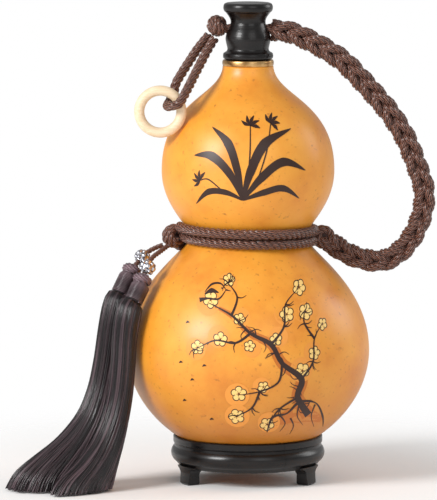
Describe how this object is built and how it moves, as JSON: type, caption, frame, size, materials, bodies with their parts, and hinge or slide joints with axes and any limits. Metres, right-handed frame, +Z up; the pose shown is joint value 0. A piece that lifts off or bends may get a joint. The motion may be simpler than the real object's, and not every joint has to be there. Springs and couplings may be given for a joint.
{
  "type": "gourd water bottle",
  "caption": "Double-bulb dried gourd bottle with a turned stopper, brass mouth ring, braided strap, finger ring and tassels, standing in a footed wooden stand.",
  "frame": {"origin": "on the gourd's axis, at the height of the surface that the stand's feet rest on", "axes": "+Z up along the gourd's axis, -Y the front, +X towards the strap"},
  "size_m": [0.2294, 0.131, 0.2592],
  "materials": {
    "gourd_skin": "lacquered dried gourd rind, honey yellow, satin gloss",
    "lacquered_wood": "black lacquered turned wood, semi gloss",
    "dowel_wood": "raw birch dowel",
    "brass": "turned brass, slightly dull",
    "cork": "natural cork",
    "twisted_cord": "three-ply twisted rayon cord, dark reddish brown",
    "pale_wood": "bare pale wood, sanded",
    "cast_silver": "cast silver-coloured metal, antiqued",
    "tassel_thread": "fine rayon thread, dark purplish brown, silky"
  },
  "bodies": {
    "stand": {"stand_segment_right": "lacquered_wood", "stand_segment_back": "lacquered_wood", "stand_segment_left": "lacquered_wood", "seam_dowels": "dowel_wood"},
    "gourd": {"gourd_shell": "gourd_skin", "mouth_ring": "brass", "waist_cord": "twisted_cord", "waist_knot_left": "twisted_cord", "waist_knot_right": "twisted_cord", "strap_braid": "twisted_cord"},
    "stopper": {"stopper_head": "lacquered_wood", "stopper_cork": "cork", "through_cord": "twisted_cord", "stopper_knot": "twisted_cord"},
    "ring_loop": {"ring_cord": "twisted_cord"},
    "ring": {"wood_ring": "pale_wood"},
    "tassel_front": {"lead_front": "twisted_cord", "tassel_knot_front": "tassel_thread", "tassel_neck_front": "tassel_thread", "tassel_skirt_front": "tassel_thread"},
    "tassel_back": {"lead_back": "twisted_cord", "tassel_knot_back": "tassel_thread", "tassel_neck_back": "tassel_thread", "tassel_skirt_back": "tassel_thread"},
    "bead_front": {"bead_front": "cast_silver"},
    "bead_back": {"bead_back": "cast_silver"}
  },
  "joints": [
    {"name": "gourd_lift", "type": "slide", "parent": "stand", "child": "gourd", "axis": [0, 0, 1], "range_m": [0, 0.04]},
    {"name": "stopper_pull", "type": "slide", "parent": "gourd", "child": "stopper", "axis": [0, 0, 1], "range_m": [0, 0.028], "deforming": ["strap_braid"]},
    {"name": "ring_swing", "type": "hinge", "parent": "stopper", "child": "ring_loop", "pos_m": [-0.0165, 0, 0.2464], "axis": [0, 1, 0], "range_deg": [0, 50]},
    {"name": "ring_turn", "type": "hinge", "parent": "ring_loop", "child": "ring", "pos_m": [-0.047, -0.0205, 0.202], "axis": [0, 1, 0], "continuous": true},
    {"name": "tassel_front_swing", "type": "hinge", "parent": "gourd", "child": "tassel_front", "pos_m": [-0.04018, -0.00476, 0.1333], "axis": [-0.6, 0.8, 0], "range_deg": [0, 40]},
    {"name": "tassel_back_swing", "type": "hinge", "parent": "gourd", "child": "tassel_back", "pos_m": [-0.04018, -0.00476, 0.1333], "axis": [-0.6, 0.8, 0], "range_deg": [0, 40]},
    {"name": "bead_front_turn", "type": "hinge", "parent": "tassel_front", "child": "bead_front", "pos_m": [-0.054, -0.0215, 0.1184], "axis": [-0.3986, -0.299, -0.867], "continuous": true},
    {"name": "bead_back_turn", "type": "hinge", "parent": "tassel_back", "child": "bead_back", "pos_m": [-0.05674, -0.01068, 0.1224], "axis": [-0.6302, -0.4726, -0.616], "continuous": true}
  ]
}
